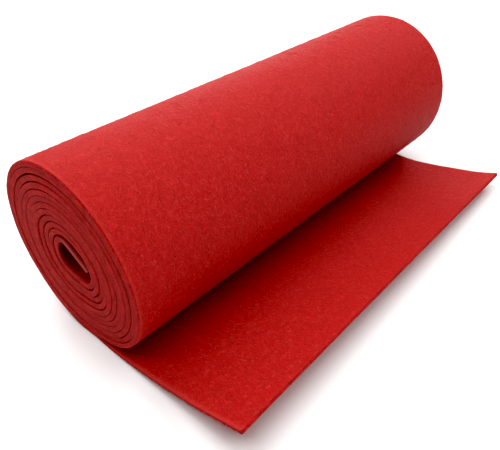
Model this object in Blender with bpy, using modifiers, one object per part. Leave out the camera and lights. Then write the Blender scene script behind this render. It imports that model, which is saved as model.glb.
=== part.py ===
"""A roll of thick felt: one long sheet wound on itself, with its loose outer end lying out.

Metres, +Z up. The roll lies along Y, with its near end at -Y. The origin is on the flat spot that
it rests on, right under its axis. The outer turn leaves the roll there and lies out towards +X,
and its free edge curls up. Angles are counted from the bottom of the roll, by its left side at -X.
"""

import math

import bmesh
import bpy

# Driving dimensions
FELT_WIDTH = 0.305
FELT_THICKNESS = 0.0029
ROLL_RADIUS = 0.0539
FLAT_SPOT_ANGLE = 7.5

# Gap inside each turn, in millimetres, from the outermost turn to the innermost one
GAPS_MM = (
    # bottom, left, top, right
    (0.4, 0.4, 0.4, 0.5),
    (0.6, 0.7, 1.2, 0.8),
    (0.4, 0.4, 0.9, 0.4),
    (0.6, 0.8, 0.7, 0.4),
    (0.4, 0.4, 0.4, 0.6),
    (0.4, 0.4, 0.5, 0.6),
    (0.5, 0.4, 0.5, 0.4),
    (1.4, 1.5, 0.6, 0.4),
    (1.6, 1.5, 0.6, 0.4),
    (1.6, 1.3, 0.6, 0.5),
    (2.2, 1.5, 1.2, 0.8),
)

# Loose end: where its curl starts, how far it reaches and how high its free edge stands
TAIL_STATIONS = (
    # along Y, curl start X, reach X, rise Z
    (-0.5 * FELT_WIDTH, 0.0092, 0.1169, 0.0199),
    (0.0, 0.0360, 0.1136, 0.0162),
    (0.5 * FELT_WIDTH, 0.0630, 0.1106, 0.0090),
)

# Inner end: a straight flap across the open core, as X and height from the roll's axis
FLAP_BEND = (0.0012, 0.0104)
FLAP_TIP = (0.0150, 0.0012)
FLAP_BEND_ANGLE = 142.5
FLAP_HANDLE = 0.0035

STEP_ANGLE = 7.5
STEPS_PER_TURN = round(360.0 / STEP_ANGLE)
DRAW_IN_ANGLE = 310.0
TAIL_FLAT_STEPS = 4
TAIL_CURL_STEPS = 14
FLAP_BEND_STEPS = 6
FLAP_STEPS = 3

FELT_RED = (0.52, 0.022, 0.028, 1.0)
FELT_ROUGHNESS = 0.95

# Middle of the outermost turn, and the roll's axis above the flat spot
OUTER_RADIUS = ROLL_RADIUS - 0.5 * FELT_THICKNESS
AXIS_HEIGHT = OUTER_RADIUS * math.cos(math.radians(FLAT_SPOT_ANGLE)) + 0.5 * FELT_THICKNESS


def eased(t):
    """From 0 to 1, level at both ends."""
    return 0.5 - 0.5 * math.cos(math.pi * min(max(t, 0.0), 1.0))


def gap_inside(step):
    """Gap between the felt at this step and the turn inside it."""
    sides = [gap / 1000 for turn in GAPS_MM for gap in turn]
    place = step * STEP_ANGLE / 90.0
    side = min(int(place), len(sides) - 2)
    return sides[side] + (sides[side + 1] - sides[side]) * eased(place - side)


def round_radii():
    """Middle of the felt at each step inwards, before the roll flattens where it rests."""
    last_step = len(GAPS_MM) * STEPS_PER_TURN + round(FLAP_BEND_ANGLE / STEP_ANGLE)
    drawn_in = FELT_THICKNESS + gap_inside(0)
    draw_in_span = 360.0 - FLAT_SPOT_ANGLE - DRAW_IN_ANGLE
    radii = []
    for step in range(STEPS_PER_TURN):
        fall = eased((step * STEP_ANGLE - DRAW_IN_ANGLE) / draw_in_span)
        radii.append(OUTER_RADIUS - drawn_in * fall)
    for step in range(STEPS_PER_TURN, last_step + 1):
        outside = step - STEPS_PER_TURN
        radii.append(radii[outside] - FELT_THICKNESS - gap_inside(outside))
    return radii


def wound_points():
    """The spiral as (X, Z), from the bottom of the roll inwards, each turn flat at its bottom."""
    flat = math.cos(math.radians(FLAT_SPOT_ANGLE))
    points = []
    for step, radius in enumerate(round_radii()):
        angle = math.radians(step * STEP_ANGLE)
        if math.cos(angle) > flat:
            radius *= flat / math.cos(angle)
        points.append((-radius * math.sin(angle), AXIS_HEIGHT - radius * math.cos(angle)))
    return points


def flap_points(before, start):
    """The innermost felt turns sharply off the spiral and runs straight to its cut end."""
    bend = (FLAP_BEND[0], AXIS_HEIGHT + FLAP_BEND[1])
    tip = (FLAP_TIP[0], AXIS_HEIGHT + FLAP_TIP[1])
    onward = math.dist(before, start)
    straight = math.dist(bend, tip)
    handle_in = [start[i] + (start[i] - before[i]) * FLAP_HANDLE / onward for i in range(2)]
    handle_out = [bend[i] - (tip[i] - bend[i]) * FLAP_HANDLE / straight for i in range(2)]
    points = []
    for step in range(1, FLAP_BEND_STEPS + 1):
        t = step / FLAP_BEND_STEPS
        weights = ((1 - t) ** 3, 3 * t * (1 - t) ** 2, 3 * t**2 * (1 - t), t**3)
        corners = (start, handle_in, handle_out, bend)
        points.append(tuple(sum(w * c[i] for w, c in zip(weights, corners)) for i in range(2)))
    for step in range(1, FLAP_STEPS + 1):
        t = step / FLAP_STEPS
        points.append(tuple(bend[i] + (tip[i] - bend[i]) * t for i in range(2)))
    return points


def tail_points(curl_start, reach, rise):
    """The loose end from its free edge back to the roll: curled up, then flat on the ground."""
    middle = 0.5 * FELT_THICKNESS
    points = []
    for step in range(TAIL_CURL_STEPS, 0, -1):
        t = step / TAIL_CURL_STEPS
        points.append((curl_start + (reach - curl_start) * t, middle + rise * t**2))
    for step in range(TAIL_FLAT_STEPS, 0, -1):
        points.append((curl_start * step / TAIL_FLAT_STEPS, middle))
    return points


def make_felt_material():
    material = bpy.data.materials.new("red_felt")
    material.use_nodes = True
    shader = material.node_tree.nodes["Principled BSDF"]
    shader.inputs["Base Color"].default_value = FELT_RED
    shader.inputs["Roughness"].default_value = FELT_ROUGHNESS
    shader.inputs["Metallic"].default_value = 0.0
    return material


def make_felt_sheet(collection):
    """The middle of the felt is an open surface swept along the roll, then given its thickness."""
    wound = wound_points()
    inner = wound + flap_points(wound[-2], wound[-1])
    bm = bmesh.new()
    rows = []
    for along, curl_start, reach, rise in TAIL_STATIONS:
        section = tail_points(curl_start, reach, rise) + inner
        if not rows:
            row = [bm.verts.new((x, along, z)) for x, z in section]
            for first, second in zip(row, row[1:]):
                bm.edges.new((first, second))
        else:
            edges = [bm.edges.get(pair) for pair in zip(rows[-1], rows[-1][1:])]
            made = bmesh.ops.extrude_edge_only(bm, edges=edges)["geom"]
            copies = {vert for vert in made if isinstance(vert, bmesh.types.BMVert)}
            row = []
            for vert, (x, z) in zip(rows[-1], section):
                copy = next(e.other_vert(vert) for e in vert.link_edges if e.other_vert(vert) in copies)
                copy.co = (x, along, z)
                row.append(copy)
        rows.append(row)
    bmesh.ops.recalc_face_normals(bm, faces=bm.faces)
    mesh = bpy.data.meshes.new("felt_sheet")
    bm.to_mesh(mesh)
    bm.free()
    mesh.materials.append(make_felt_material())
    mesh.shade_smooth()
    felt = bpy.data.objects.new("felt_sheet", mesh)
    collection.objects.link(felt)
    solidify = felt.modifiers.new("thickness", "SOLIDIFY")
    solidify.thickness = FELT_THICKNESS
    solidify.offset = 0.0
    solidify.use_even_offset = True
    mesh.set_sharp_from_angle(angle=math.radians(40.0))
    return felt


def main():
    for obj in list(bpy.data.objects):
        bpy.data.objects.remove(obj, do_unlink=True)
    collection = bpy.data.collections.new("felt_roll")
    bpy.context.scene.collection.children.link(collection)
    make_felt_sheet(collection)


main()
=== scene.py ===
"""The looks of a roll of thick red felt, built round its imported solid.

Metres, +Z up. The roll lies along Y, with its near end at -Y, and the felt's loose end lies out
towards +X. Angles along the winding are counted from the bottom of the roll, by its left side at -X.
"""

import math
import random

import bmesh
import bpy
from mathutils import Matrix, Vector, noise


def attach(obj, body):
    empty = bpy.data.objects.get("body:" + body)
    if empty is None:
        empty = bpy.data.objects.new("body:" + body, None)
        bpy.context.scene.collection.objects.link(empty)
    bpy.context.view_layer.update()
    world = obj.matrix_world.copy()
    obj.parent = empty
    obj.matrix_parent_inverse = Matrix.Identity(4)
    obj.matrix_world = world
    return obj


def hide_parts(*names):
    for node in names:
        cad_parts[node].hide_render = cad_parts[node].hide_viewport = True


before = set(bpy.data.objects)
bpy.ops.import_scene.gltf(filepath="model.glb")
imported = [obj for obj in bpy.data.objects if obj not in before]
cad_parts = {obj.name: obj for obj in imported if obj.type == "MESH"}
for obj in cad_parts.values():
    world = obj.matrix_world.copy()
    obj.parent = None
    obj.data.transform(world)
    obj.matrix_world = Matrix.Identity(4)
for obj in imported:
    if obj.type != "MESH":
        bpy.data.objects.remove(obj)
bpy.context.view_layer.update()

# Driving dimensions of the felt and of the roll, as its solid has them
FELT_WIDTH = 0.305
FELT_THICKNESS = 0.0029
ROLL_RADIUS = 0.0539
FLAT_SPOT_ANGLE = 7.5
DRAW_IN_ANGLE = 310.0

# Gap inside each turn, in millimetres, from the outermost turn to the innermost one
GAPS_MM = (
    # bottom, left, top, right
    (0.4, 0.4, 0.4, 0.5),
    (0.6, 0.7, 1.2, 0.8),
    (0.4, 0.4, 0.9, 0.4),
    (0.6, 0.8, 0.7, 0.4),
    (0.4, 0.4, 0.4, 0.6),
    (0.4, 0.4, 0.5, 0.6),
    (0.5, 0.4, 0.5, 0.4),
    (1.4, 1.5, 0.6, 0.4),
    (1.6, 1.5, 0.6, 0.4),
    (1.6, 1.3, 0.6, 0.5),
    (2.2, 1.5, 1.2, 0.8),
)

# How far each turn's near and far cut edges stand out of the roll's ends, in millimetres
END_STEPS_MM = (
    # near, far
    (0.1, -0.2),
    (0.3, 0.2),
    (-0.4, 0.4),
    (0.0, -0.3),
    (0.3, 0.1),
    (-0.2, 0.5),
    (0.1, -0.1),
    (0.4, -0.4),
    (-0.1, 0.3),
    (-0.5, 0.0),
    (0.2, -0.5),
    (-0.3, 0.2),
    (0.4, -0.3),
)

# Loose end: where its curl starts, how far it reaches and how high its free edge stands. That edge
# is fluffed out a little past its solid.
TAIL_STATIONS = (
    # along Y, curl start X, reach X, rise Z
    (-0.5 * FELT_WIDTH, 0.0092, 0.1174, 0.0199),
    (0.0, 0.0360, 0.1146, 0.0162),
    (0.5 * FELT_WIDTH, 0.0630, 0.1112, 0.0090),
)

# The loose end's long edges stand out a little, and its far one is drawn in beside the roll
TAIL_NEAR_OUT = 0.0004
TAIL_FAR_OUT = 0.0016
BAY_DEPTH = 0.0100
BAY_PLACES = (-0.012, 0.038, 0.086)

# Inner end: a straight flap across the open core, as X and height from the roll's axis
FLAP_BEND = (0.0012, 0.0104)
FLAP_TIP = (0.0150, 0.0012)
FLAP_BEND_ANGLE = 142.5
FLAP_HANDLE = 0.0035

# Fineness of the felt's mesh
SECTION_STEP = 0.0030
LONGEST_LAST_STEP = 1.5
ROWS_ALONG = 30
ROW_CROWDING = 0.98
TAIL_FLAT_STEPS = 8
TAIL_CURL_STEPS = 36
TAIL_STEPS = TAIL_FLAT_STEPS + TAIL_CURL_STEPS
FLAP_BEND_STEPS = 10
FLAP_STEPS = 6

# The felt's own surface: its fluffed-up thickness, its rounded cut edges and its unevenness
FLUFFED_THICKNESS = 0.00305
THINNED_EDGE = 0.88
THINNED_REACH = 0.006
OUTER_ROUNDING = 0.0013
LOOSE_ROUNDING = 0.0006
INNER_ROUNDING = 0.00022
CUT_SEGMENTS = 3
CUT_ANGLE = 60.0
END_WAVE = 0.00025
END_WAVES_PER_DEGREE = 0.03
END_WAVES_APART = 5.0
SURFACE_WAVE = 0.00012
SURFACE_WAVES = (
    # waves in a metre, share
    (90.0, 1.0),
    (240.0, 0.6),
)

# Middle of the outermost turn, the roll's axis above the flat spot, and where the winding ends
OUTER_RADIUS = ROLL_RADIUS - 0.5 * FELT_THICKNESS
AXIS_HEIGHT = OUTER_RADIUS * math.cos(math.radians(FLAT_SPOT_ANGLE)) + 0.5 * FELT_THICKNESS
WOUND_ANGLE = len(GAPS_MM) * 360.0 + FLAP_BEND_ANGLE

# The camera, as focal length and place of the optical axis in a 500 by 450 pixel picture
SENSOR_WIDTH = 36.0
PICTURE_WIDTH = 500.0
FOCAL_PIXELS = 531.0
AXIS_LOW_PIXELS = 37.0
CAMERA_AZIMUTH = 41.302
CAMERA_ELEVATION = 40.227
CAMERA_PLACE = (3.797 * ROLL_RADIUS, -4.578 * ROLL_RADIUS, 4.212 * ROLL_RADIUS)
CAMERA_SEES = (0.01, 20.0)

# Soft lamps of the studio, turned and raised as the camera is
LAMPS = (
    # azimuth, elevation, watts
    (90.0, 12.0, 4.8),
    (225.0, 12.0, 6.0),
    (180.0, 40.0, 10.0),
    (270.0, 40.0, 9.2),
    (0.0, 65.0, 10.0),
    (90.0, 65.0, 7.6),
    (270.0, 65.0, 9.6),
)
LAMP_AIM = (0.02, 0.0, 0.04)
LAMP_DISTANCE = 1.5
LAMP_SIZE = 0.8
BLACK_LEVEL = 0.0095

# The pale floor shines by itself in the distance, where the lamps no longer reach it
FLOOR_HEIGHT = -0.0003
FLOOR_SIZE = 60.0
FLOOR_COLOUR = (0.93, 0.93, 0.93, 1.0)
SHINE_FROM = 0.7
SHINE_TO = 3.0
MILLIMETRES = 1000.0


def eased(t):
    """From 0 to 1, level at both ends."""
    return 0.5 - 0.5 * math.cos(math.pi * min(max(t, 0.0), 1.0))


def gap_inside(angle):
    """Gap between the felt at this angle and the turn inside it."""
    sides = [gap / MILLIMETRES for turn in GAPS_MM for gap in turn]
    place = angle / 90.0
    side = min(int(place), len(sides) - 2)
    return sides[side] + (sides[side + 1] - sides[side]) * eased(place - side)


def round_radius(angle):
    """Middle of the felt at this angle inwards, before the roll flattens where it rests."""
    if angle < 360.0:
        draw_in_span = 360.0 - FLAT_SPOT_ANGLE - DRAW_IN_ANGLE
        fall = eased((angle - DRAW_IN_ANGLE) / draw_in_span)
        return OUTER_RADIUS - (FELT_THICKNESS + gap_inside(0.0)) * fall
    outside = angle - 360.0
    return round_radius(outside) - FELT_THICKNESS - gap_inside(outside)


def wound_point(angle):
    """The spiral as (X, Z), each turn flat at its bottom."""
    flat = math.cos(math.radians(FLAT_SPOT_ANGLE))
    turned = math.radians(angle)
    radius = round_radius(angle)
    if math.cos(turned) > flat:
        radius *= flat / math.cos(turned)
    return (-radius * math.sin(turned), AXIS_HEIGHT - radius * math.cos(turned))


def wound_angles():
    """Angles along the spiral, about as far apart along the felt on every turn."""
    angles = [0.0]
    step = 0.0
    while angles[-1] + LONGEST_LAST_STEP * step < WOUND_ANGLE:
        step = math.degrees(SECTION_STEP / round_radius(angles[-1]))
        angles.append(angles[-1] + step)
    return angles + [WOUND_ANGLE]


def flap_points():
    """The innermost felt turns sharply off the spiral and runs straight to its cut end."""
    before = wound_point(WOUND_ANGLE - 1.0)
    start = wound_point(WOUND_ANGLE)
    bend = (FLAP_BEND[0], AXIS_HEIGHT + FLAP_BEND[1])
    tip = (FLAP_TIP[0], AXIS_HEIGHT + FLAP_TIP[1])
    onward = math.dist(before, start)
    straight = math.dist(bend, tip)
    handle_in = [start[i] + (start[i] - before[i]) * FLAP_HANDLE / onward for i in range(2)]
    handle_out = [bend[i] - (tip[i] - bend[i]) * FLAP_HANDLE / straight for i in range(2)]
    points = []
    for step in range(1, FLAP_BEND_STEPS + 1):
        t = step / FLAP_BEND_STEPS
        weights = ((1 - t) ** 3, 3 * t * (1 - t) ** 2, 3 * t**2 * (1 - t), t**3)
        corners = (start, handle_in, handle_out, bend)
        points.append(tuple(sum(w * c[i] for w, c in zip(weights, corners)) for i in range(2)))
    for step in range(1, FLAP_STEPS + 1):
        t = step / FLAP_STEPS
        points.append(tuple(bend[i] + (tip[i] - bend[i]) * t for i in range(2)))
    return points


def between_stations(along, column):
    """A smooth value of the loose end's table at a place along Y."""
    near, middle, far = (station[column] for station in TAIL_STATIONS)
    share = along / (0.5 * FELT_WIDTH)
    return middle + 0.5 * (far - near) * share + (0.5 * (far + near) - middle) * share**2


def tail_points(along):
    """The loose end from its free edge back to the roll: curled up, then flat on the ground."""
    curl_start, reach, rise = (between_stations(along, column) for column in (1, 2, 3))
    middle = 0.5 * FELT_THICKNESS
    points = []
    for step in range(TAIL_CURL_STEPS, 0, -1):
        t = step / TAIL_CURL_STEPS
        points.append((curl_start + (reach - curl_start) * t, middle + rise * t**2))
    for step in range(TAIL_FLAT_STEPS, 0, -1):
        points.append((curl_start * step / TAIL_FLAT_STEPS, middle))
    return points


def tail_edge_out(x):
    """How far the loose end's near and far edges stand out at this X, bay and all."""
    start, deepest, end = BAY_PLACES
    loose = eased(x / deepest)
    into = eased((x - start) / (deepest - start))
    out_of = eased((x - deepest) / (end - deepest))
    return loose * TAIL_NEAR_OUT, loose * TAIL_FAR_OUT - BAY_DEPTH * into * (1.0 - out_of)


def lengths_along(points):
    """Distance along a line of points, from its first one."""
    lengths = [0.0]
    for first, second in zip(points, points[1:]):
        lengths.append(lengths[-1] + math.dist(first, second))
    return lengths


def end_step(angle, column):
    """How far the cut edge stands out at this angle of the winding, and a little waviness."""
    place = max(angle, 0.0) / 360.0
    turn = min(int(place), len(END_STEPS_MM) - 2)
    steps = [row[column] / MILLIMETRES for row in END_STEPS_MM]
    stood_out = steps[turn] + (steps[turn + 1] - steps[turn]) * eased(place - turn)
    wave = noise.noise(Vector((END_WAVES_PER_DEGREE * angle, END_WAVES_APART * column, 0.0)))
    return stood_out + END_WAVE * wave


def row_places():
    """Places of the mesh's rows along Y: closer together near both cut edges."""
    widest = 0.5 * math.pi * ROW_CROWDING
    places = []
    for row in range(ROWS_ALONG + 1):
        share = 2.0 * row / ROWS_ALONG - 1.0
        places.append(0.5 * FELT_WIDTH * math.sin(widest * share) / math.sin(widest))
    return places


def add_middle_rows(bm):
    """Vertices of the felt's middle, a row for each place along Y, and their distances along it."""
    wound = wound_angles()
    inner = [wound_point(angle) for angle in wound] + flap_points()
    angles = [-1.0] * TAIL_STEPS + wound + [WOUND_ANGLE] * (len(inner) - len(wound))
    rows = []
    lengths = []
    for along in row_places():
        section = tail_points(along) + inner
        lengths.append(lengths_along(section))
        near = eased(-2.0 * along / FELT_WIDTH)
        far = eased(2.0 * along / FELT_WIDTH)
        row = []
        for (x, z), angle in zip(section, angles):
            near_out = end_step(angle, 0)
            far_out = end_step(angle, 1)
            if angle < 90.0:
                near_edge, far_edge = tail_edge_out(x)
                near_out += near_edge
                far_out += far_edge
            row.append(bm.verts.new((x, along - near * near_out + far * far_out, z)))
        rows.append(row)
    return rows, lengths


def add_middle_faces(bm, rows, lengths):
    """Faces between the rows. Their UV map is the felt laid out flat, in metres."""
    uv_layer = bm.loops.layers.uv.new("felt")
    for near_row, far_row, near_lengths, far_lengths in zip(rows, rows[1:], lengths, lengths[1:]):
        for i in range(len(near_row) - 1):
            corners = (near_row[i], near_row[i + 1], far_row[i + 1], far_row[i])
            flat = (near_lengths[i], near_lengths[i + 1], far_lengths[i + 1], far_lengths[i])
            face = bm.faces.new(corners)
            for loop, length in zip(face.loops, flat):
                loop[uv_layer].uv = (length, loop.vert.co.y)


def make_felt():
    """The middle of the felt is swept along the roll, then thickened, rounded and roughened."""
    bm = bmesh.new()
    rows, lengths = add_middle_rows(bm)
    add_middle_faces(bm, rows, lengths)
    mesh = bpy.data.meshes.new("felt")
    bm.to_mesh(mesh)
    bm.free()
    felt = bpy.data.objects.new("felt", mesh)
    bpy.context.scene.collection.objects.link(felt)
    mesh.materials.append(felt_face_material())
    mesh.materials.append(cut_felt_material())
    thin_loose_edges(felt, lengths)
    thicken(felt)
    round_cut_edges(felt)
    roughen(felt)
    felt.data.shade_smooth()
    return felt


def thin_loose_edges(felt, lengths):
    """Stores how much of its thickness the felt keeps: less along the edges of the loose end."""
    group = felt.vertex_groups.new(name="thickness")
    number = 0
    for along, row_lengths in zip(row_places(), lengths):
        from_side = 0.5 * FELT_WIDTH - abs(along)
        for i, length in enumerate(row_lengths):
            loose = eased((TAIL_STEPS - i) / TAIL_FLAT_STEPS)
            thinned = loose * (1.0 - eased(min(length, from_side) / THINNED_REACH))
            group.add([number], 1.0 - (1.0 - THINNED_EDGE) * thinned, "REPLACE")
            number += 1


def thicken(felt):
    """Gives the felt its thickness, and its cut edges the second material."""
    solidify = felt.modifiers.new("thickness", "SOLIDIFY")
    solidify.thickness = FLUFFED_THICKNESS
    solidify.offset = 0.0
    solidify.use_even_offset = True
    solidify.vertex_group = "thickness"
    solidify.material_offset_rim = 1
    apply_modifiers(felt)


def round_cut_edges(felt):
    weigh_cut_edges(felt.data)
    bevel = felt.modifiers.new("cut edges", "BEVEL")
    bevel.width = OUTER_ROUNDING
    bevel.segments = CUT_SEGMENTS
    bevel.limit_method = "WEIGHT"
    apply_modifiers(felt)


def is_loose(place):
    """True on the loose end, past the roll."""
    return math.hypot(place.x, place.z - AXIS_HEIGHT) > ROLL_RADIUS + 0.5 * FELT_THICKNESS


def is_outside(place, normal):
    """True on the outside of the outermost turn."""
    from_axis = Vector((place.x, 0.0, place.z - AXIS_HEIGHT))
    return from_axis.length > OUTER_RADIUS and normal.dot(from_axis) > 0.0


def cut_rounding(place, normal):
    """Cut edges are rounder on the outside of the roll than where its turns press on each other."""
    if is_loose(place):
        return LOOSE_ROUNDING
    return OUTER_ROUNDING if is_outside(place, normal) else INNER_ROUNDING


def weigh_cut_edges(mesh):
    """Stores each cut edge's own rounding for the bevel."""
    weights = mesh.attributes.new("bevel_weight_edge", "FLOAT", "EDGE")
    bm = bmesh.new()
    bm.from_mesh(mesh)
    for edge in bm.edges:
        if edge.calc_face_angle() > math.radians(CUT_ANGLE):
            normal = edge.link_faces[0].normal + edge.link_faces[1].normal
            middle = 0.5 * (edge.verts[0].co + edge.verts[1].co)
            weights.data[edge.index].value = cut_rounding(middle, normal) / OUTER_ROUNDING
    bm.free()


def apply_modifiers(obj):
    """Leaves the object with its finished mesh alone."""
    bpy.ops.object.select_all(action="DESELECT")
    bpy.context.view_layer.objects.active = obj
    obj.select_set(True)
    for modifier in list(obj.modifiers):
        bpy.ops.object.modifier_apply(modifier=modifier.name)


def roughen(felt):
    """Raises and lowers the outside of the roll and the loose end a little, in soft patches."""
    mesh = felt.data
    normals = [vertex.normal.copy() for vertex in mesh.vertices]
    for vertex, normal in zip(mesh.vertices, normals):
        if is_loose(vertex.co) or is_outside(vertex.co, normal):
            patches = sum(share * noise.noise(vertex.co * waves) for waves, share in SURFACE_WAVES)
            vertex.co += normal * SURFACE_WAVE * patches


# Loose fibres that lie in low arches on the open faces of the felt. Each one's length, radius and
# height are between two sizes, and its turn and curl spread by some degrees. Its tips dip inside.
FIBRE_COUNT = 8000
FIBRE_SEED = 11
FIBRE_LENGTHS = (0.0018, 0.0055)
FIBRE_RADII = (0.00005, 0.00010)
FIBRE_LIFTS = (0.00005, 0.00030)
FIBRE_TURN = 50.0
FIBRE_CURL = 35.0
FIBRE_DIP = 1.6
CUT_FACE_LIMIT = 0.5


def open_faces(mesh):
    """Faces that fibres can lie on, with their areas. None of them looks down at the floor."""
    found = []
    for face in mesh.polygons:
        open_face = is_loose(face.center) or is_outside(face.center, face.normal)
        if open_face and (face.normal.z > 0.0 or face.center.z > FELT_THICKNESS):
            found.append(face)
    return found, [face.area for face in found]


def place_on_face(mesh, face, chance):
    """A place somewhere on the face."""
    corners = [mesh.vertices[number].co for number in face.vertices]
    shares = [chance.random() for corner in corners]
    return sum((share * corner for share, corner in zip(shares, corners)), Vector()) / sum(shares)


def make_spindle():
    """A thin closed shape of three sides along Z, from -1 to 1, modelled once for all fibres."""
    bpy.ops.object.select_all(action="DESELECT")
    bpy.ops.mesh.primitive_uv_sphere_add(segments=3, ring_count=4, radius=1.0)
    spindle = bpy.context.active_object
    corners = [vertex.co.copy() for vertex in spindle.data.vertices]
    outlines = [tuple(face.vertices) for face in spindle.data.polygons]
    bpy.data.objects.remove(spindle, do_unlink=True)
    return in_fixed_order(corners, outlines)


def in_fixed_order(corners, outlines):
    """Corners and faces sorted by their places, because the sphere's own order changes by itself."""
    places = [tuple(round(value, 3) for value in corner) for corner in corners]
    order = sorted(range(len(corners)), key=places.__getitem__)
    numbers = {number: place for place, number in enumerate(order)}
    turned = []
    for outline in outlines:
        renumbered = [numbers[number] for number in outline]
        first = renumbered.index(min(renumbered))
        turned.append(tuple(renumbered[first:] + renumbered[:first]))
    return [corners[number] for number in order], sorted(turned)


def lengthwise_on(face):
    """The way along the felt's length on this face, or out along X where the face is a cut one."""
    lengthwise = Vector((0.0, 1.0, 0.0)).cross(face.normal)
    if lengthwise.length < CUT_FACE_LIMIT:
        lengthwise = Vector((1.0, 0.0, 0.0))
    return lengthwise.normalized()


def fibre_corners(spindle_corners, felt, face, chance):
    """The spindle as one fibre: bent over the felt, with its two tips just inside it."""
    place = place_on_face(felt.data, face, chance)
    half_length = 0.5 * chance.uniform(*FIBRE_LENGTHS)
    radius = chance.uniform(*FIBRE_RADII)
    lift = chance.uniform(*FIBRE_LIFTS)
    bend = 0.5 * half_length * math.radians(chance.gauss(0.0, FIBRE_CURL))
    heading = lengthwise_on(face)
    heading.rotate(Matrix.Rotation(math.radians(chance.gauss(0.0, FIBRE_TURN)), 3, face.normal))
    across = face.normal.cross(heading)
    corners = []
    for side, up, t in spindle_corners:
        middle = place + half_length * t * heading + bend * (t * t - 0.5) * across
        foot, normal = felt.closest_point_on_mesh(middle)[1:3]
        height = lift * (1.0 - FIBRE_DIP * t * t) + radius * up
        corners.append(foot + height * normal + radius * side * across)
    return corners


def make_fibres(felt):
    chance = random.Random(FIBRE_SEED)
    spindle_corners, outlines = make_spindle()
    felt_faces, areas = open_faces(felt.data)
    corners = []
    faces = []
    for face in chance.choices(felt_faces, weights=areas, k=FIBRE_COUNT):
        first = len(corners)
        corners += fibre_corners(spindle_corners, felt, face, chance)
        faces += [tuple(first + number for number in outline) for outline in outlines]
    mesh = bpy.data.meshes.new("loose_fibres")
    mesh.from_pydata(corners, [], faces)
    mesh.materials.append(fibre_material())
    mesh.shade_smooth()
    fibres = bpy.data.objects.new("loose_fibres", mesh)
    bpy.context.scene.collection.objects.link(fibres)
    return fibres


class Socket:
    """An output of a shader node. Arithmetic on it adds Math nodes to the material."""

    def __init__(self, shader, output):
        self.shader = shader
        self.output = output

    def math(self, operation, *values):
        return self.shader.node("ShaderNodeMath", {"operation": operation}, dict(enumerate(values)))

    def __add__(self, other):
        return self.math("ADD", self, other)

    def __radd__(self, other):
        return self.math("ADD", other, self)

    def __sub__(self, other):
        return self.math("SUBTRACT", self, other)

    def __rsub__(self, other):
        return self.math("SUBTRACT", other, self)

    def __mul__(self, other):
        return self.math("MULTIPLY", self, other)

    def __rmul__(self, other):
        return self.math("MULTIPLY", other, self)

    def __abs__(self):
        return self.math("ABSOLUTE", self)

    def rising(self, low, high):
        """0 below low, 1 above high, and smooth between them."""
        settings = {"interpolation_type": "SMOOTHSTEP"}
        inputs = {"Value": self, "From Min": low, "From Max": high}
        return self.shader.node("ShaderNodeMapRange", settings, inputs)


class Shader:
    """A new material with one Principled shader."""

    def __init__(self, name, **constants):
        self.material = bpy.data.materials.new(name)
        self.material.use_nodes = True
        self.nodes = self.material.node_tree.nodes
        self.links = self.material.node_tree.links
        self.principled = self.nodes["Principled BSDF"]
        for key, value in constants.items():
            self.set(self.principled, key.replace("_", " "), value)

    def set(self, node, key, value):
        """Gives an input of a node a number, a colour, or another node's output."""
        if isinstance(value, Socket):
            self.links.new(value.output, node.inputs[key])
        else:
            node.inputs[key].default_value = value

    def node(self, kind, settings=None, inputs=None, output=0):
        """Adds a node, with its settings first, and returns one of its outputs."""
        node = self.nodes.new(kind)
        for key, value in (settings or {}).items():
            if key == "stops":
                self.set_stops(node.color_ramp, value)
            else:
                setattr(node, key, value)
        for key, value in (inputs or {}).items():
            self.set(node, key, value)
        return Socket(self, node.outputs[output])

    def mix(self, first, second, share):
        """From the first colour to the second one, as the share rises."""
        return self.node("ShaderNodeMix", {"data_type": "RGBA"}, {0: share, 6: first, 7: second}, 2)

    def split(self, vector, number):
        """One number of a vector or colour."""
        return self.node("ShaderNodeSeparateXYZ", None, {"Vector": vector}, number)

    def set_stops(self, ramp, stops):
        """Gives a colour ramp its places and colours."""
        while len(ramp.elements) < len(stops):
            ramp.elements.new(1.0)
        for element, (place, colour) in zip(ramp.elements, stops):
            element.position = place
            element.color = (*colour, 1.0)

    def feed(self, **values):
        """Links what changes over the surface to the Principled shader."""
        for key, value in values.items():
            self.set(self.principled, key.replace("_", " "), value)


# Strands of the felt as they lie on its surface, more of them along it than across
STRAND_LAYERS = (
    # turned, length and width in millimetres, how far it stands up
    (4.0, 5.0, 1.1, 1.0),
    (-22.0, 3.5, 0.9, -0.9),
    (31.0, 4.0, 1.0, 0.9),
    (-41.0, 4.5, 1.0, 0.9),
    (13.0, 3.0, 0.9, -1.0),
    (74.0, 3.0, 1.0, 0.7),
    (-9.0, 3.5, 0.8, -0.9),
)
STRAND_EDGE = 0.45
STRAND_DRIFT = 1.8

# Fineness in waves to a millimetre, and how much each thing shows in the felt's colour and relief
DRIFT_FINENESS = 0.22
GRAIN_FINENESS = 1.5
CLUMP_FINENESS = 0.2
STRAND_SHARE = 0.24
GRAIN_SHARE = 0.5
CLUMP_SHARE = 0.15
CLUMP_CONTRAST = 1.2
STRAND_RELIEF = 0.6
CLUMP_RELIEF = 0.3
RELIEF_HEIGHT = 0.0005
FLAT_NOISE = {"noise_dimensions": "2D"}
FELT_TONES = (
    (0.0, (0.21, 0.0016, 0.0014)),
    (0.5, (0.40, 0.0052, 0.0044)),
    (1.0, (0.60, 0.0360, 0.0290)),
)

# Felt along its cut edges, lighter and pinker as fluffed felt and as a painted sheen on the rounded
# rims, and painted shade darkening the inner side of the core
FLUFF_AND_SHEEN_TONE = (0.48, 0.0300, 0.0240, 1.0)
FLUFF_AND_SHEEN_SHARE = 0.7
FLUFF_AND_SHEEN_REACH = 0.0026
PAINTED_CORE_SHADE = (0.08, 0.0006, 0.0005, 1.0)
PAINTED_SHADE_LENGTH = 2.487
PAINTED_SHADE_REACH = 0.055


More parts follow.
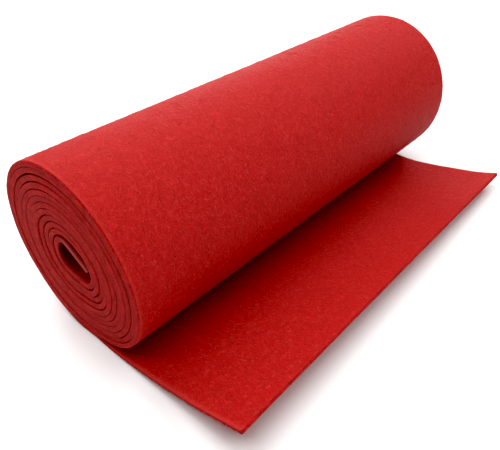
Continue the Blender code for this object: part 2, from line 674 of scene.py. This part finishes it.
def strands(shader, place, turned, length, width):
    """Short strands that lie one way, each as strong as its own random number says."""
    inputs = {"Vector": place, "Rotation": (0.0, 0.0, math.radians(turned))}
    inputs["Location"] = (turned, 3.0 * turned, 0.0)
    inputs["Scale"] = (length, width, 1.0)
    laid = shader.node("ShaderNodeMapping", {"vector_type": "TEXTURE"}, inputs)
    cells = {"voronoi_dimensions": "2D", "feature": "F1"}
    distance = shader.node("ShaderNodeTexVoronoi", cells, {"Vector": laid, "Scale": 1.0})
    strength = shader.split(Socket(shader, distance.output.node.outputs["Color"]), 0)
    return (1.0 - distance.rising(0.0, STRAND_EDGE)) * strength * strength


def felt_face_material():
    felt = Shader("red_felt_face", Roughness=0.7, Specular_IOR_Level=0.185)
    flat = felt.node("ShaderNodeTexCoord", output="UV")
    place = felt.node("ShaderNodeVectorMath", {"operation": "SCALE"}, {0: flat, "Scale": MILLIMETRES})
    drifting = {"Vector": place, "Scale": DRIFT_FINENESS, "Detail": 2.0}
    drift = felt.node("ShaderNodeTexNoise", FLAT_NOISE, drifting, "Color")
    bending = {0: drift, 1: (STRAND_DRIFT, STRAND_DRIFT, 0.0), 2: place}
    bent = felt.node("ShaderNodeVectorMath", {"operation": "MULTIPLY_ADD"}, bending)
    height = sum(strands(felt, bent, *shape) * raised for *shape, raised in STRAND_LAYERS)
    fine = {"Vector": place, "Scale": GRAIN_FINENESS, "Detail": 1.5}
    grain = felt.node("ShaderNodeTexNoise", FLAT_NOISE, fine) - 0.5
    coarse = {"Vector": place, "Scale": CLUMP_FINENESS, "Detail": 3.0}
    clumps = felt.node("ShaderNodeTexNoise", FLAT_NOISE, coarse) - 0.5
    uneven = (1.0 + CLUMP_CONTRAST * clumps) * (STRAND_SHARE * height + GRAIN_SHARE * grain)
    tone = 0.5 + uneven + CLUMP_SHARE * clumps
    ramp = felt.node("ShaderNodeValToRGB", {"stops": FELT_TONES}, {"Fac": tone})
    along = felt.split(felt.node("ShaderNodeTexCoord", output="Object"), 1)
    cut_place = 0.5 * FELT_WIDTH
    # Lighter, pinker band near each cut edge: partly fluffed felt blending toward the cut felt's
    # tone, partly a painted sheen on the rounded rims
    fluff_and_sheen = abs(along).rising(cut_place - FLUFF_AND_SHEEN_REACH, cut_place) * (FLUFF_AND_SHEEN_SHARE + uneven)
    # Painted shade: the innermost turn darkens towards a near-black red inside the core, where little
    # light reaches
    painted_core_shade = felt.split(flat, 0).rising(PAINTED_SHADE_LENGTH, PAINTED_SHADE_LENGTH + PAINTED_SHADE_REACH)
    colour = felt.mix(felt.mix(ramp, PAINTED_CORE_SHADE, painted_core_shade), FLUFF_AND_SHEEN_TONE, fluff_and_sheen)
    relief = STRAND_RELIEF * height + grain + CLUMP_RELIEF * clumps
    raised = {"Height": relief, "Strength": 0.6, "Distance": RELIEF_HEIGHT}
    felt.feed(Base_Color=colour, Normal=felt.node("ShaderNodeBump", None, raised))
    return felt.material


# Grain and patches of the cut felt: fineness in waves to a metre, and how much each shows
CUT_GRAIN = (1300.0, 1.1)
CUT_PATCHES = (250.0, 0.7)
CUT_RELIEF_HEIGHT = 0.0004
CUT_TONES = (
    (0.3, (0.22, 0.0040, 0.0034)),
    (0.7, (0.50, 0.0120, 0.0105)),
)

# The cut edge of the flap across the core is paler
FLAP_TONE = (0.35, 0.0520, 0.0430, 1.0)
FLAP_SHARE = 0.8
FLAP_LENGTH = 2.546
FLAP_REACH = 0.009


def cut_felt_material():
    felt = Shader("red_felt_cut", Roughness=0.7, Specular_IOR_Level=0.07)
    place = felt.node("ShaderNodeTexCoord", output="Object")
    tone = 0.5
    for fineness, share in (CUT_GRAIN, CUT_PATCHES):
        inputs = {"Vector": place, "Scale": fineness, "Detail": 2.0}
        tone = tone + share * (felt.node("ShaderNodeTexNoise", None, inputs) - 0.5)
    ramp = felt.node("ShaderNodeValToRGB", {"stops": CUT_TONES}, {"Fac": tone})
    raised = {"Height": tone, "Strength": 0.5, "Distance": CUT_RELIEF_HEIGHT}
    bump = felt.node("ShaderNodeBump", None, raised)
    length = felt.split(felt.node("ShaderNodeTexCoord", output="UV"), 0)
    flap = FLAP_SHARE * length.rising(FLAP_LENGTH, FLAP_LENGTH + FLAP_REACH)
    felt.feed(Base_Color=felt.mix(ramp, FLAP_TONE, flap), Normal=bump)
    return felt.material


FIBRE_TONES = (
    (0.3, (0.42, 0.0120, 0.0100)),
    (0.7, (0.62, 0.0700, 0.0560)),
)


def fibre_material():
    fibre = Shader("red_fibres", Roughness=0.6, Specular_IOR_Level=0.2)
    place = fibre.node("ShaderNodeTexCoord", output="Object")
    tone = fibre.node("ShaderNodeTexNoise", None, {"Vector": place, "Scale": 400.0, "Detail": 2.0})
    fibre.feed(Base_Color=fibre.node("ShaderNodeValToRGB", {"stops": FIBRE_TONES}, {"Fac": tone}))
    return fibre.material


def make_floor():
    bpy.ops.object.select_all(action="DESELECT")
    bpy.ops.mesh.primitive_plane_add(size=FLOOR_SIZE, location=(0.0, 0.0, FLOOR_HEIGHT))
    floor = bpy.context.active_object
    floor.name = "floor"
    pale = Shader("pale_floor", Base_Color=FLOOR_COLOUR, Roughness=0.8, Emission_Strength=1.0)
    place = pale.node("ShaderNodeTexCoord", output="Object")
    distance = pale.node("ShaderNodeVectorMath", {"operation": "LENGTH"}, {0: place}, "Value")
    pale.feed(Emission_Color=distance.rising(SHINE_FROM, SHINE_TO))
    floor.data.materials.append(pale.material)


def make_lamps():
    """Large soft lamps on a dome round the roll."""
    aim = Vector(LAMP_AIM)
    for number, (azimuth, elevation, watts) in enumerate(LAMPS):
        turned = math.radians(azimuth)
        raised = math.radians(elevation)
        level = math.cos(raised)
        outward = Vector((math.sin(turned) * level, -math.cos(turned) * level, math.sin(raised)))
        data = bpy.data.lights.new(f"lamp_{number}", "AREA")
        data.shape = "DISK"
        data.size = LAMP_SIZE
        data.energy = watts
        lamp = bpy.data.objects.new(data.name, data)
        bpy.context.scene.collection.objects.link(lamp)
        lamp.location = aim + LAMP_DISTANCE * outward
        lamp.rotation_euler = (-outward).to_track_quat("-Z", "Y").to_euler()


def make_surroundings():
    """White surroundings that are seen but light nothing."""
    world = bpy.data.worlds.new("studio")
    world.use_nodes = True
    nodes = world.node_tree.nodes
    background = nodes["Background"]
    background.inputs["Color"].default_value = (1.0, 1.0, 1.0, 1.0)
    seen = nodes.new("ShaderNodeLightPath").outputs["Is Camera Ray"]
    world.node_tree.links.new(seen, background.inputs["Strength"])
    bpy.context.scene.world = world


def deepen_blacks():
    view = bpy.context.scene.view_settings
    view.view_transform = "Standard"
    view.use_curve_mapping = True
    view.curve_mapping.black_level = (BLACK_LEVEL, BLACK_LEVEL, BLACK_LEVEL)
    view.curve_mapping.update()


def make_camera():
    data = bpy.data.cameras.new("camera")
    data.sensor_width = SENSOR_WIDTH
    data.lens = data.sensor_width * FOCAL_PIXELS / PICTURE_WIDTH
    data.shift_y = AXIS_LOW_PIXELS / PICTURE_WIDTH
    data.clip_start, data.clip_end = CAMERA_SEES
    camera = bpy.data.objects.new("camera", data)
    bpy.context.scene.collection.objects.link(camera)
    camera.location = CAMERA_PLACE
    camera.rotation_euler = (math.radians(90.0 - CAMERA_ELEVATION), 0.0, math.radians(CAMERA_AZIMUTH))
    bpy.context.scene.camera = camera


make_camera()
make_lamps()
make_surroundings()
deepen_blacks()
make_floor()
felt = make_felt()
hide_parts("felt_sheet")
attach(felt, "root")
fibres = make_fibres(felt)
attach(fibres, "root")
